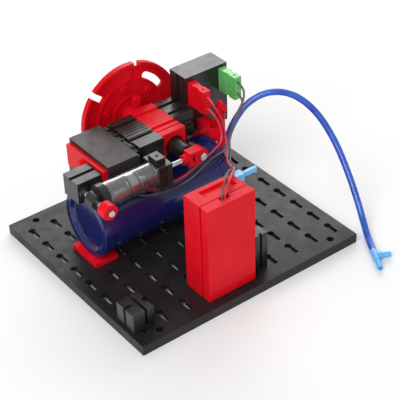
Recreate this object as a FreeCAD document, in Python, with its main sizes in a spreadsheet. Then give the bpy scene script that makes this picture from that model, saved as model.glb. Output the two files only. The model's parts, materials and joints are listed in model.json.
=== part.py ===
import FreeCAD, Part
import Sketcher
import math
import os
import re

# Motor-driven air supply that keeps its own pressure: reservoir, crank compressor, pressure switch and
# battery box on one slotted base plate.  Frame: origin at the centre of the base plate's underside,
# +X along the reservoir, +Y towards the flywheel, +Z up.  Millimetres.

DIMENSIONS = [
    # base plate
    ("plate_long", 150, "base plate along X"),
    ("plate_wide", 135, "base plate along Y"),
    ("plate_thick", 6, "base plate, height of its rim"),
    ("plate_skin", 2.4, "base plate, thickness of its top"),
    ("plate_rim", 2.5, "base plate, thickness of its rim"),
    ("plate_rib", 2, "base plate, thickness of the two ribs under it"),
    ("pitch", 15, "grid of the slots and of every building block"),
    ("slot_long", 7.8, "from a slot's square end to the centre of its round end, along Y"),
    ("slot_tail", 6.2, "from a grid point back to the slot's square end"),
    ("slot_wide", 2.6, "slot width"),
    ("slot_eye", 2, "radius of the round end of a slot"),
    ("slot_columns", 10, "slots along X"),
    ("slot_rows", 8, "slots along Y"),
    ("screw_hole", 2.1, "radius of the four corner screw holes"),
    ("screw_x", 60, "corner screw holes, distance from the middle along X"),
    ("screw_y", 61.5, "corner screw holes, distance from the middle along Y"),
    # reservoir
    ("tank_radius", 19.5, "reservoir outer radius"),
    ("tank_wall", 1.6, "reservoir wall"),
    ("tank_left", -54.5, "left end of the reservoir"),
    ("tank_long", 88, "reservoir length over its caps"),
    ("tank_y", 13.5, "reservoir axis, Y"),
    ("tank_z", 28.5, "reservoir axis, Z"),
    ("cap_long", 6, "end cap length"),
    ("cap_rim", 0.6, "end cap stands out over the shell"),
    ("nipple_radius", 1.6, "outside radius of a hose nipple"),
    ("nipple_bore", 0.8, "bore radius of a hose nipple"),
    ("riser_long", 5, "outlet elbow, from its middle to the shoulder that the hose meets"),
    ("barb_long", 5.5, "outlet elbow, length inside the hose"),
    ("cradle_wide", 24, "cradle along Y"),
    ("cradle_high", 8, "cradle height"),
    ("cradle_foot", 2.8, "cradle foot, thickness"),
    # columns and drive block
    ("column_y", 34.5, "front face of the columns"),
    ("block_bottom", 50, "underside of motor and gearbox"),
    ("block_top", 66, "top of motor and gearbox"),
    ("drive_z", 56.5, "height of crank axle, motor shaft and cylinder"),
    ("crank_x", 6, "crank axle, X"),
    ("motor_y", 24.75, "motor shaft, Y"),
    ("cover_left", -43, "rear motor housing, left face"),
    ("cover_wide", 21, "rear motor housing along X"),
    ("cover_front", 4, "rear motor housing, front face"),
    ("cover_long", 38.5, "rear motor housing along Y"),
    ("rib_front", 9, "front motor housing, front face"),
    ("rib_long", 31.5, "front motor housing along Y"),
    ("groove", 2.4, "grooves in the housings, width"),
    ("groove_deep", 1, "grooves in the housings, depth"),
    ("block_groove", 2.1, "round grooves of the building blocks, radius"),
    ("shaft_way", 3.2, "holes that the motor shaft and the pinion reach through, radius"),
    ("can_radius", 4.9, "motor can"),
    ("gear_left", -2.6, "left face of the gearbox"),
    ("gear_wide", 16.4, "gearbox along X"),
    ("gear_front", 10.5, "front face of the bearing frame"),
    ("frame_long", 8, "bearing frame along Y"),
    ("gear_back", 43, "back face of the gearbox"),
    ("link_wide", 14.2, "link block between gearbox and control box, along X"),
    ("wall", 1.5, "housing walls"),
    ("axle_radius", 2, "steel axles"),
    ("running_fit", 0.05, "radial clearance of a running fit"),
    ("bush_radius", 3.6, "outside radius of a bush"),
    # gears
    ("crown_teeth", 24, "teeth of the crown wheel"),
    ("pinion_teeth", 8, "teeth of the pinion"),
    ("crown_radius", 5.3, "mean radius of the crown teeth"),
    ("crown_face", 1.6, "radial length of a crown tooth"),
    ("shaft_end", 0.8, "motor shaft where it carries the pinion"),
    ("pinion_root", 1.35, "pinion root radius"),
    ("pinion_tip", 2.25, "pinion tip radius"),
    ("tooth_wide", 0.56, "tooth width of both gears"),
    ("tip_gap", 0.15, "gap between a tooth tip and the other gear's root"),
    # crank and flywheel
    ("crank_throw", 5, "crank pin to crank axle"),
    ("crank_front", 3.5, "front end of the crank axle and back of the crank arm"),
    ("crank_arm_front", -0.8, "front of the crank arm"),
    ("crank_hub_radius", 5.2, "crank hub and the root of the crank arm"),
    ("crank_tip_radius", 3.8, "free end of the crank arm"),
    ("crank_pin_radius", 1.5, "crank pin"),
    ("wheel_radius", 32.8, "flywheel radius"),
    ("wheel_front", 53, "front face of the flywheel"),
    ("wheel_thick", 3.4, "flywheel rim thickness"),
    ("web_front", 1.2, "flywheel web, behind the front of the rim"),
    ("web_thick", 1.8, "flywheel web thickness"),
    ("slot_inner", 24, "flywheel slots, distance of their inner end from the axle"),
    ("groove_inner", 21.2, "the same for the grooves below its rim notches"),
    ("window_middle", 24.6, "flywheel windows, distance of their middle from the axle"),
    ("window_round", 2.1, "flywheel windows, radius of their ends"),
    # compression cylinder
    ("cylinder_y", -4.5, "cylinder axis, Y"),
    ("cylinder_radius", 7.5, "cylinder tube outer radius"),
    ("cylinder_bore", 6.6, "cylinder tube bore radius"),
    ("tube_left", -52, "left end of the clear tube"),
    ("tube_long", 31, "clear tube length"),
    ("piston_x", -35.5, "middle of the piston"),
    ("piston_long", 9, "piston length"),
    ("rod_radius", 1.5, "piston rod"),
    ("pivot_x", -58, "cylinder pivot axle, X"),
    ("eye_radius", 4.3, "eye of the rod clip"),
    ("front_cap_long", 9, "front cap of the cylinder along X"),
    # control box
    ("box_left", 28, "control box, left face"),
    ("box_front", 28.5, "control box, front face"),
    ("box_bottom", 44, "control box, underside"),
    ("box_top", 83, "control box, top"),
    ("box_deep", 15, "control box along Y"),
    ("box_wide", 30, "control box along X"),
    ("plug_long", 15, "plug along Y"),
    ("plug_high", 7.2, "plug height"),
    ("plug_wide", 4.8, "plug width"),
    ("plug_pin", 1.25, "plug pin radius"),
    ("plug_low_red", 65.3, "underside of the red plugs"),
    ("plug_low_green", 66.2, "underside of the green plugs"),
    # battery box
    ("battery_left", -27.2, "battery box, left face"),
    ("battery_front", -62, "battery box, front face"),
    ("battery_wide", 32, "battery box along X"),
    ("battery_lid", 6.9, "battery lid along Y"),
    ("battery_tray", 13.5, "battery tray along Y"),
    ("battery_high", 60, "battery box height"),
    ("cell_high", 47, "battery, height without its studs"),
    ("stop_high", 23, "battery stop, height"),
    ("post_left", -73.2, "free block near the left edge, left face"),
    ("post_front", -57.4, "free block near the left edge, front face"),
    ("post_high", 13, "free block near the left edge, height"),
    # cords
    ("wire_radius", 0.6, "insulated wire"),
    ("hose_radius", 2, "delivery hose"),
    ("tee_radius", 2.05, "body of the hose connector"),
]

doc = FreeCAD.newDocument("air_supply")
sheet = doc.addObject("Spreadsheet::Sheet", "dims")
for row, (alias, number, note) in enumerate(DIMENSIONS, start=1):
    sheet.set(f"A{row}", note)
    sheet.set(f"B{row}", str(number))
    sheet.setAlias(f"B{row}", alias)
doc.recompute()


# ---------------------------------------------------------------- helpers

ORIGIN = FreeCAD.Vector(0, 0, 0)
TURNED = {
    "X": FreeCAD.Rotation(FreeCAD.Vector(0, 1, 0), 90),
    "Y": FreeCAD.Rotation(FreeCAD.Vector(1, 0, 0), -90),
    "Z": FreeCAD.Rotation(),
}
PLANES = {"X": "YZ_Plane", "Y": "XZ_Plane", "Z": "XY_Plane"}
WORD = re.compile(r"\b([a-z]\w*)\b(?!\()")
subparts = []


def linked(formula):
    """A formula of plain alias names, as an expression that other objects can hold."""
    return WORD.sub(r"dims.\1", str(formula))


def value(formula):
    """The number that a formula of alias names gives now."""
    found = sheet.evalExpression(str(formula))
    return float(getattr(found, "Value", found))


def bind(thing, **formulas):
    for name, formula in formulas.items():
        thing.setExpression(name, linked(formula))
    return thing


def place(thing, corner, axis="Z", spin=0):
    """Binds where a thing stands; spin turns it about its own axis, in degrees."""
    own_turn = FreeCAD.Rotation(FreeCAD.Vector(0, 0, 1), spin)
    thing.Placement = FreeCAD.Placement(ORIGIN, TURNED[axis].multiply(own_turn))
    for letter, formula in zip("xyz", corner):
        thing.setExpression(f"Placement.Base.{letter}", linked(formula))
    return thing


def lean(thing, angle):
    """Turns a placed thing about +Y, in degrees, round the point where it stands."""
    thing.Placement = FreeCAD.Placement(ORIGIN, FreeCAD.Rotation(FreeCAD.Vector(0, 1, 0), angle))
    return thing


def box(corner, size, spin=0):
    """A block from its lowest corner and its size along X, Y and Z."""
    block = doc.addObject("Part::Box", "block")
    bind(block, Length=size[0], Width=size[1], Height=size[2])
    return place(block, corner, spin=spin)


def bar(axis, start, radius, length):
    """A round bar that begins at start and runs along +axis."""
    round_bar = doc.addObject("Part::Cylinder", "bar")
    bind(round_bar, Radius=radius, Height=length)
    return place(round_bar, start, axis)


def cone(axis, start, radius_1, radius_2, length):
    taper = doc.addObject("Part::Cone", "taper")
    bind(taper, Radius1=radius_1, Radius2=radius_2, Height=length)
    return place(taper, start, axis)


def fuse(*shapes):
    joined = doc.addObject("Part::MultiFuse", "joined")
    joined.Shapes = list(shapes)
    joined.Refine = True
    return joined


def cut(base, *tools):
    remainder = doc.addObject("Part::Cut", "remainder")
    remainder.Base = base
    remainder.Tool = tools[0] if len(tools) == 1 else fuse(*tools)
    remainder.Refine = True
    return remainder


def subpart(label, thing):
    """Names the finished object of one sub-part."""
    thing.Label = label
    subparts.append(thing)
    return thing


def origin_feature(body, role):
    return next(item for item in body.Origin.OriginFeatures if item.Role == role)


def sketch_on(body, axis, start):
    """A sketch square to axis, at start along it."""
    sketch = body.newObject("Sketcher::SketchObject", "sketch")
    sketch.AttachmentSupport = [(origin_feature(body, PLANES[axis]), "")]
    sketch.MapMode = "FlatFace"
    sign = "-" if axis == "Y" else ""
    sketch.setExpression(".AttachmentOffset.Base.z", linked(f"{sign}({start})"))
    return sketch


def polygon(sketch, corners):
    """A closed outline whose corners are bound to formulas."""
    first = sketch.GeometryCount
    spots = [FreeCAD.Vector(value(across), value(up), 0) for across, up in corners]
    count = len(corners)
    for index, spot in enumerate(spots):
        sketch.addGeometry(Part.LineSegment(spot, spots[(index + 1) % count]))
    for index in range(count):
        line = first + index
        after = first + (index + 1) % count
        sketch.addConstraint(Sketcher.Constraint("Coincident", line, 2, after, 1))
    for index, (across, up) in enumerate(corners):
        pin_point(sketch, first + index, 1, across, up)


def turned(across, up, angle):
    """A sketch point turned by angle degrees about the sketch's origin, as two formulas."""
    return (f"({across}) * cos({angle}) - ({up}) * sin({angle})",
            f"({across}) * sin({angle}) + ({up}) * cos({angle})")


def pin_point(sketch, item, end, across, up):
    for kind, formula in (("DistanceX", across), ("DistanceY", up)):
        number = sketch.addConstraint(Sketcher.Constraint(kind, -1, 1, item, end, value(formula)))
        sketch.setExpression(f"Constraints[{number}]", linked(formula))


def circle(sketch, across, up, radius):
    middle = FreeCAD.Vector(value(across), value(up), 0)
    item = sketch.GeometryCount
    sketch.addGeometry(Part.Circle(middle, FreeCAD.Vector(0, 0, 1), value(radius)))
    pin_point(sketch, item, 3, across, up)
    number = sketch.addConstraint(Sketcher.Constraint("Radius", item, value(radius)))
    sketch.setExpression(f"Constraints[{number}]", linked(radius))


def pad(body, sketch, axis, length):
    """Grows the sketch along +axis."""
    made = body.newObject("PartDesign::Pad", "pad")
    made.Profile = sketch
    made.Reversed = axis == "Y"
    bind(made, Length=length)
    doc.recompute()
    return made


def pocket(body, sketch, axis, depth):
    """Cuts the sketch along +axis, and checks that it removes something."""
    before = body.Shape.Volume
    made = body.newObject("PartDesign::Pocket", "pocket")
    made.Profile = sketch
    made.Reversed = axis != "Y"
    bind(made, Length=depth)
    doc.recompute()
    if made.Shape.Volume >= before:
        raise RuntimeError(f"a pocket of {body.Label} cuts nothing")
    return made


def revolve(body, sketch, axis):
    made = body.newObject("PartDesign::Revolution", "revolution")
    made.Profile = sketch
    made.ReferenceAxis = (origin_feature(body, f"{axis}_Axis"), [""])
    made.Angle = 360
    doc.recompute()
    return made


def polar(body, feature, axis, count):
    """Repeats a feature round one of the body's own axes."""
    pattern = body.newObject("PartDesign::PolarPattern", "pattern")
    pattern.Originals = [feature]
    pattern.Axis = (origin_feature(body, f"{axis}_Axis"), [""])
    pattern.Angle = 360
    bind(pattern, Occurrences=count)
    body.Tip = pattern
    doc.recompute()
    return pattern


def rectangle(sketch, left, low, wide, high):
    right = f"{left} + {wide}"
    upper = f"{low} + {high}"
    polygon(sketch, [(left, low), (right, low), (right, upper), (left, upper)])


def linear(body, axis, count):
    pattern = body.newObject("PartDesign::LinearPattern", "row")
    pattern.Direction = (origin_feature(body, f"{axis}_Axis"), [""])
    bind(pattern, Length=f"pitch * ({count} - 1)", Occurrences=count)
    return pattern


def new_body(label):
    body = doc.addObject("PartDesign::Body", label)
    subpart(label, body)
    return body


def turned_piece(label, axis, place_at, profile):
    """A piece turned on a lathe: profile gives (along the axis, radius) corners from the axis outwards."""
    body = new_body(label)
    sketch = sketch_on(body, "Z", 0)
    corners = profile if axis == "X" else [(radius, along) for along, radius in profile]
    polygon(sketch, corners)
    revolve(body, sketch, axis)
    place(body, place_at)
    return body


# ---------------------------------------------------------------- base plate

def make_base_plate():
    body = new_body("base_plate")
    outline = sketch_on(body, "Z", 0)
    rectangle(outline, "-plate_long / 2", "-plate_wide / 2", "plate_long", "plate_wide")
    pad(body, outline, "Z", "plate_thick")

    hollow = sketch_on(body, "Z", 0)
    bay_long = "plate_long / 2 - plate_rim - plate_rib / 2"
    low = "-plate_wide / 2 + plate_rim"
    for left in ("plate_rib / 2", "-plate_long / 2 + plate_rim"):
        rectangle(hollow, left, low, bay_long, f"-plate_rib - ({low})")
        rectangle(hollow, left, 0, bay_long, "plate_wide / 2 - plate_rim")
    pocket(body, hollow, "Z", "plate_thick - plate_skin")

    spots = [(across, up) for across in ("screw_x", "-screw_x") for up in ("screw_y", "-screw_y")]
    bosses = sketch_on(body, "Z", 0)
    for across, up in spots:
        circle(bosses, across, up, "screw_hole + 2.9")
    pad(body, bosses, "Z", "plate_thick - 1")
    corners = sketch_on(body, "Z", 0)
    for across, up in spots:
        circle(corners, across, up, "screw_hole")
    pocket(body, corners, "Z", "plate_thick")

    keyhole = sketch_on(body, "Z", 0)
    first_x = "-pitch * (slot_columns - 1) / 2"
    first_y = "-pitch * (slot_rows - 1) / 2 - slot_tail"
    rectangle(keyhole, f"{first_x} - slot_wide / 2", first_y, "slot_wide", "slot_long")
    slot = pocket(body, keyhole, "Z", "plate_thick")
    eye = sketch_on(body, "Z", 0)
    circle(eye, first_x, f"{first_y} + slot_long", "slot_eye")
    round_end = pocket(body, eye, "Z", "plate_thick")

    grid = body.newObject("PartDesign::MultiTransform", "grid")
    grid.Originals = [slot, round_end]
    grid.Transformations = [linear(body, "X", "slot_columns"), linear(body, "Y", "slot_rows")]
    body.Tip = grid
    doc.recompute()


# ---------------------------------------------------------------- reservoir

def make_reservoir():
    turned_piece(
        "tank_shell", "X", ("tank_left", "tank_y", "tank_z"),
        [("4", "tank_radius - tank_wall"), ("4", "tank_radius"),
         ("tank_long - 4", "tank_radius"), ("tank_long - 4", "tank_radius - tank_wall")])
    cap_profile = [
        ("2", "0"), ("2", "tank_radius - 5"), ("0", "tank_radius - 3"), ("0", "tank_radius + cap_rim"),
        ("cap_long", "tank_radius + cap_rim"), ("cap_long", "tank_radius + 0.03"),
        ("4", "tank_radius + 0.03"), ("4", "0")]
    turned_piece("tank_cap_left", "X", ("tank_left", "tank_y", "tank_z"), cap_profile)
    mirrored = [(f"tank_long - ({along})", radius) for along, radius in cap_profile]
    turned_piece("tank_cap_right", "X", ("tank_left", "tank_y", "tank_z"), mirrored)

    tank_end = "tank_left + tank_long - 2"
    elbow = (f"{tank_end} + 5.5", "tank_y", "tank_z")
    foot = bar("X", (tank_end, "tank_y", "tank_z"), 2.8, 7.5)
    riser = lean(bar("Z", elbow, 2.8, "riser_long"), 30)
    barb = lean(bar("Z", elbow, "nipple_radius", "riser_long + barb_long"), 30)
    bore = lean(bar("Z", elbow, "nipple_bore", "riser_long + barb_long + 1"), 30)
    subpart("tank_outlet_elbow", cut(fuse(foot, riser, barb), bore))


def make_cradle(label, left):
    """A flat foot with a narrower saddle on it that carries the reservoir."""
    foot = box((left, "tank_y - cradle_wide / 2", "plate_thick"), ("pitch", "cradle_wide", "cradle_foot"))
    saddle = box((f"{left} + 1", "tank_y - 7", "plate_thick"), ("pitch - 2", 14, "cradle_high"))
    hollow = bar("X", (f"{left} - 1", "tank_y", "tank_z"), "tank_radius + 0.05", "pitch + 2")
    rim = bar("X", ("tank_left - 5", "tank_y", "tank_z"), "tank_radius + cap_rim + 0.05", "cap_long + 5.05")
    subpart(label, cut(fuse(foot, saddle), hollow, rim))


# ---------------------------------------------------------------- columns

def grooved_column(label, left, height, deep="pitch"):
    """A building block of the kit, with a round groove down its left, right and front face."""
    block = box((left, "column_y", "plate_thick"), ("pitch", deep, height))
    middle_x = f"{left} + pitch / 2"
    middle_y = f"column_y + ({deep}) / 2"
    grooves = []
    for x, y in ((left, middle_y), (f"{left} + pitch", middle_y), (middle_x, "column_y")):
        grooves.append(bar("Z", (x, y, "plate_thick - 1"), "block_groove", f"{height} + 2"))
    subpart(label, cut(block, *grooves))


# ---------------------------------------------------------------- motor

def make_motor():
    low = "block_bottom"
    high = "block_top - block_bottom"
    cover_right = "cover_left + cover_wide"
    shell = box(("cover_left", "cover_front", low), ("cover_wide", "cover_long", high))
    hollow = box(("cover_left + wall", "cover_front + wall", f"{low} + wall"),
                 ("cover_wide", "cover_long - wall * 2", f"{high} - wall * 2"))
    step = box((f"{cover_right} - 1.2", "cover_front - 1", "block_top - 1"), (2, "cover_long + 2", 2))
    wire_ways = [bar("Z", (x, "cover_front + 2.5", f"{low} - 1"), "wire_radius + 0.02", 4)
                 for x in ("cover_left + 9", "cover_left + 13")]
    shaft_way = bar("X", ("cover_left - 1", "motor_y", "drive_z"), 1.6, 4)
    subpart("motor_rear_housing", cut(shell, hollow, step, shaft_way, *wire_ways))

    rib_wide = f"gear_left - ({cover_right})"
    front = box((cover_right, "rib_front", low), (rib_wide, "rib_long", high))
    cavity = box((cover_right + " - 1", "rib_front + wall", f"{low} + wall"),
                 (f"{rib_wide} - wall + 1", "rib_long - wall * 2", f"{high} - wall * 2"))
    shaft_hole = bar("X", (cover_right, "motor_y", "drive_z"), "shaft_way", rib_wide + " + 1")
    grooves = [box((f"{cover_right} - 1", across, "block_top - groove_deep"), (f"{rib_wide} + 2", "groove", 2))
               for across in ("rib_front + 8", "rib_front + 24")]
    neck = box((cover_right + " - 1", "rib_front - 1", "block_top - 1.6"), (4.5, "rib_long + 2", 2))
    subpart("motor_front_housing", cut(front, cavity, shaft_hole, neck, *grooves))

    plate = box(("cover_left - 3", "cover_front + 1", low), (3, "cover_long - 2", f"{high} - 2.2"))
    bearing = bar("X", ("cover_left - 6", "motor_y", "drive_z"), "4.6", 4)
    bearing_bore = bar("X", ("cover_left - 5", "motor_y", "drive_z"), "1.55", 6)
    subpart("motor_end_plate", cut(fuse(plate, bearing), bearing_bore))

    can = bar("X", ("cover_left + 2", "motor_y", "drive_z"), "can_radius", 26)
    can_bore = bar("X", ("cover_left + 1", "motor_y", "drive_z"), "can_radius - 0.7", 28)
    subpart("motor_can", cut(can, can_bore))

    shaft = bar("X", ("cover_left - 4.5", "motor_y", "drive_z"), "1.5", "gear_left - cover_left + 4.5")
    shaft_end = bar("X", ("gear_left", "motor_y", "drive_z"), "shaft_end", "3.6")
    armature = bar("X", ("cover_left + 5", "motor_y", "drive_z"), "can_radius - 1.1", 16)
    slot_deep = 3
    starts = (2.3, -2.3 - slot_deep)
    slots = [box(("cover_left + 4", "motor_y - 0.5", f"drive_z + {start}"), (18, 1, slot_deep)) for start in starts]
    slots += [box(("cover_left + 4", f"motor_y + {start}", "drive_z - 0.5"), (18, slot_deep, 1)) for start in starts]
    subpart("motor_armature", fuse(shaft, shaft_end, cut(armature, *slots)))


# ---------------------------------------------------------------- gears

def make_pinion():
    body = new_body("drive_pinion")
    root = sketch_on(body, "X", 0)
    circle(root, "0", "0", "pinion_root")
    circle(root, "0", "0", "shaft_end + 0.02")
    pad(body, root, "X", 3.2)
    tooth = sketch_on(body, "X", 0)
    rectangle(tooth, "pinion_root - 0.3", "-tooth_wide / 2", "pinion_tip - pinion_root + 0.3", "tooth_wide")
    polar(body, pad(body, tooth, "X", 3.2), "X", "pinion_teeth")
    place(body, ("gear_left + 0.7", "motor_y", "drive_z"))


def make_crown_wheel():
    """A face gear: its teeth point at the pinion's shaft, with a gap where the pinion's top tooth sits."""
    body = new_body("crown_wheel")
    disc = sketch_on(body, "Y", 0)
    circle(disc, "0", "0", "crown_radius + crown_face / 2")
    circle(disc, "0", "0", "axle_radius + 0.02")
    pad(body, disc, "Y", 2.4)
    tooth_high = "pinion_tip - pinion_root - tip_gap"
    tooth = sketch_on(body, "Y", f"-({tooth_high})")
    turn = "180 / crown_teeth"
    near = "(crown_radius - crown_face / 2)"
    far = "(crown_radius + crown_face / 2)"
    corners = []
    for reach, side in ((near, "-"), (far, "-"), (far, "+"), (near, "+")):
        across = f"{reach} * cos({turn}) {'+' if side == '-' else '-'} tooth_wide / 2 * sin({turn})"
        up = f"{reach} * sin({turn}) {side} tooth_wide / 2 * cos({turn})"
        corners.append((across, up))
    polygon(tooth, corners)
    polar(body, pad(body, tooth, "Y", f"{tooth_high} + 0.2"), "Y", "crown_teeth")
    place(body, ("crank_x", "motor_y + pinion_tip + tip_gap", "drive_z"))


# ---------------------------------------------------------------- gearbox

def make_gearbox():
    low = "block_bottom - 1.3"
    high = "block_top - block_bottom + 1.3"
    front = "gear_front + frame_long"
    long = f"gear_back - ({front})"
    shell = box(("gear_left", front, low), ("gear_wide", long, high))
    hollow = box(("gear_left + wall", f"{front} + wall", f"{low} + 1.2"),
                 ("gear_wide - wall * 2", f"{long} - wall * 2", f"{high} - 1.2 - wall"))
    axle_way = bar("Y", ("crank_x", f"{front} - 1", "drive_z"), "bush_radius + 0.02", long + " + 2")
    motor_way = bar("X", ("gear_left - 1", "motor_y", "drive_z"), "shaft_way", 4)
    grooves = [box(("gear_left - 1", across, "block_top - groove_deep"), ("gear_wide + 2", "groove", 2))
               for across in ("rib_front + 8 + groove * 0.7", "rib_front + 24 + groove * 0.7")]
    subpart("gearbox_housing", cut(shell, hollow, axle_way, motor_way, *grooves))

    frame = box(("gear_left", "gear_front", "block_bottom"),
                ("gear_wide", "frame_long", "block_top - block_bottom"))
    arch = bar("Y", ("crank_x", "gear_front - 1", "drive_z"), "5.9", "frame_long + 2")
    opening = box(("crank_x - 5.9", "gear_front - 1", "block_bottom - 1"),
                  (11.8, "frame_long + 2", "drive_z - block_bottom + 1"))
    groove_front = box(("gear_left - 1", "gear_front + 4.6", "block_top - groove_deep"),
                       ("gear_wide + 2", 0.8, 2))
    subpart("bearing_frame", cut(frame, arch, opening, groove_front))

    bush_long = 2.5
    sleeves = [bar("Y", ("crank_x", start, "drive_z"), "bush_radius", bush_long)
               for start in (front, f"gear_back - {bush_long}")]
    bush_bore = bar("Y", ("crank_x", "gear_front", "drive_z"), "axle_radius + running_fit",
                    "gear_back - gear_front + 1")
    subpart("axle_bushes", cut(fuse(*sleeves), bush_bore))

    link_left = "gear_left + gear_wide"
    link = box((link_left, "gear_front + 11.5", "block_bottom"),
               ("link_wide", 19, "block_top - block_bottom"))
    channels = [box((f"{link_left} - 1", across, "block_top - 1.4"), ("link_wide + 2", "groove", 3))
                for across in ("rib_front + 16.5", "rib_front + 24 + groove * 0.7")]
    slot_side = bar("X", (f"{link_left} - 1", "gear_front + 11.5", "block_bottom + 8"), "block_groove",
                    "link_wide + 2")
    subpart("link_block", cut(link, slot_side, *channels))


# ---------------------------------------------------------------- crank and flywheel

def make_crank():
    axle = bar("Y", ("crank_x", "crank_front", "drive_z"), "axle_radius",
               "wheel_front + wheel_thick + 7.6 - crank_front")
    subpart("crank_axle", axle)

    hub = bar("Y", ("crank_x", "crank_front", "drive_z"), "crank_hub_radius", 11)
    collar_ring = bar("Y", ("crank_x", "crank_front + 11", "drive_z"), 4, 2.6)
    hub_bore = bar("Y", ("crank_x", "crank_front - 1", "drive_z"), "axle_radius + 0.02", 20)
    subpart("crank_hub", cut(fuse(hub, collar_ring), hub_bore))

    front = "crank_arm_front"
    thick = f"crank_front - {front}"
    tip_x = "crank_x + crank_throw"
    plate = box(("crank_x", front, "drive_z - crank_tip_radius"), ("crank_throw", thick, "crank_tip_radius * 2"))
    root = bar("Y", ("crank_x", front, "drive_z"), "crank_hub_radius", thick)
    tip = bar("Y", (tip_x, front, "drive_z"), "crank_tip_radius", thick)
    seat = bar("Y", (tip_x, f"{front} - 1", "drive_z"), "crank_pin_radius + 0.3", 3)
    subpart("crank_arm", cut(fuse(plate, root, tip), seat))


def make_flywheel():
    """A rimmed disc with two open slots, three short rim notches, two curved windows and six bosses."""
    body = new_body("flywheel_disc")
    rim = sketch_on(body, "Y", 0)
    circle(rim, "0", "0", "wheel_radius")
    circle(rim, "0", "0", "wheel_radius - 2.2")
    pad(body, rim, "Y", "wheel_thick")
    web = sketch_on(body, "Y", "web_front")
    circle(web, "0", "0", "wheel_radius - 1")
    circle(web, "0", "0", "axle_radius + 0.02")
    pad(body, web, "Y", "web_thick")
    for outside, inside in ((22.9, 21.6), (12, 10.6)):
        ridge = sketch_on(body, "Y", "web_front - 0.7")
        circle(ridge, "0", "0", outside)
        circle(ridge, "0", "0", inside)
        pad(body, ridge, "Y", 1)

    notch = sketch_on(body, "Y", -1)
    rectangle(notch, -2, "wheel_radius - 3", 4, 5)
    polar(body, pocket(body, notch, "Y", "wheel_thick + 2"), "Y", 3)
    groove = sketch_on(body, "Y", -1)
    rectangle(groove, -2, "groove_inner", 4, "wheel_radius - groove_inner + 1.5")
    polar(body, pocket(body, groove, "Y", "web_front + 1.8"), "Y", 3)
    slot = sketch_on(body, "Y", -1)
    outer_end = "wheel_radius + 2"
    polygon(slot, [turned(across, up, 60) for across, up in
                   ((-1.9, "slot_inner"), (1.9, "slot_inner"), (1.9, outer_end), (-1.9, outer_end))])
    polar(body, pocket(body, slot, "Y", "wheel_thick + 2"), "Y", 2)

    first, last = 41, 72
    steps = [first + (last - first) * step / 6 for step in range(7)]
    window = sketch_on(body, "Y", -1)
    polygon(window, [turned("window_middle + window_round", 0, angle) for angle in steps]
            + [turned("window_middle - window_round", 0, angle) for angle in reversed(steps)])
    windows = [pocket(body, window, "Y", "wheel_thick + 2")]
    for angle in (first, last):
        round_end = sketch_on(body, "Y", -1)
        circle(round_end, *turned("window_middle", 0, angle), "window_round")
        windows.append(pocket(body, round_end, "Y", "wheel_thick + 2"))
    pattern = polar(body, windows[0], "Y", 2)
    pattern.Originals = windows
    doc.recompute()

    boss = sketch_on(body, "Y", 0.2)
    circle(boss, *turned(17.6, 0, 51), 2.1)
    circle(boss, *turned(17.6, 0, 51), 0.9)
    polar(body, pad(body, boss, "Y", "web_front"), "Y", 6)
    place(body, ("crank_x", "wheel_front", "drive_z"))
    lean(body, 11)

    hub = new_body("flywheel_hub")
    flange = sketch_on(hub, "Y", 0)
    circle(flange, "0", "0", 7.4)
    pad(hub, flange, "Y", 4)
    wing = sketch_on(hub, "Y", 2)
    rectangle(wing, -2.2, 6, 4.4, 8.6)
    polar(hub, pad(hub, wing, "Y", 3), "Y", 4)
    neck = sketch_on(hub, "Y", 3)
    circle(neck, "0", "0", 5.4)
    pad(hub, neck, "Y", "wheel_front + web_front - gear_back - 3.4")
    hub_bore = sketch_on(hub, "Y", -1)
    circle(hub_bore, "0", "0", "axle_radius + 0.02")
    hub.Tip = pocket(hub, hub_bore, "Y", 20)
    place(hub, ("crank_x", "gear_back + 0.4", "drive_z"))

    nut_y = "wheel_front + web_front + web_thick"
    nut = bar("Y", ("crank_x", nut_y, "drive_z"), 6, 3.6)
    crown = bar("Y", ("crank_x", f"{nut_y} + 3.6", "drive_z"), 4, 1.4)
    nut_bore = bar("Y", ("crank_x", "wheel_front", "drive_z"), "axle_radius + 0.02", 20)
    subpart("flywheel_nut", cut(fuse(nut, crown), nut_bore))


# ---------------------------------------------------------------- compression cylinder

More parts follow.
